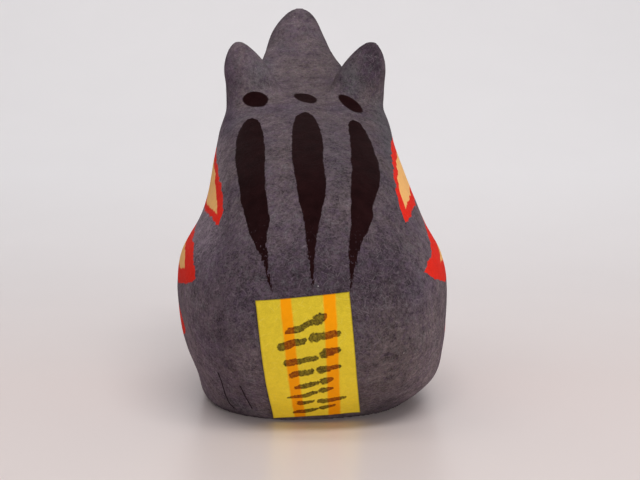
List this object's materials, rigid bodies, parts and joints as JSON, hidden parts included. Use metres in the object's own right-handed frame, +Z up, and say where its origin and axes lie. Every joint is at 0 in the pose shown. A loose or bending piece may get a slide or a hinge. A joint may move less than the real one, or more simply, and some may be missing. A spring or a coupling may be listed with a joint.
{
  "type": "papier-mache boar figure",
  "caption": "Low papier-mache boar toy on a flat underside, with lifted snout, pointed ears, brushed back stripes, flame-like flank marks and a yellow paper slip pasted on its rump",
  "frame": {"origin": "centre of the bounding box in plan, at the flat underside", "axes": "+Z up, the boar faces -Y with its rump and paper slip towards +Y, its left side is +X"},
  "size_m": [0.0476, 0.0888, 0.0725],
  "materials": {
    "painted_paper": "matte",
    "yellow_paper": "matte"
  },
  "bodies": {
    "root": {"boar_body": "painted_paper", "paper_slip": "yellow_paper"}
  },
  "joints": []
}
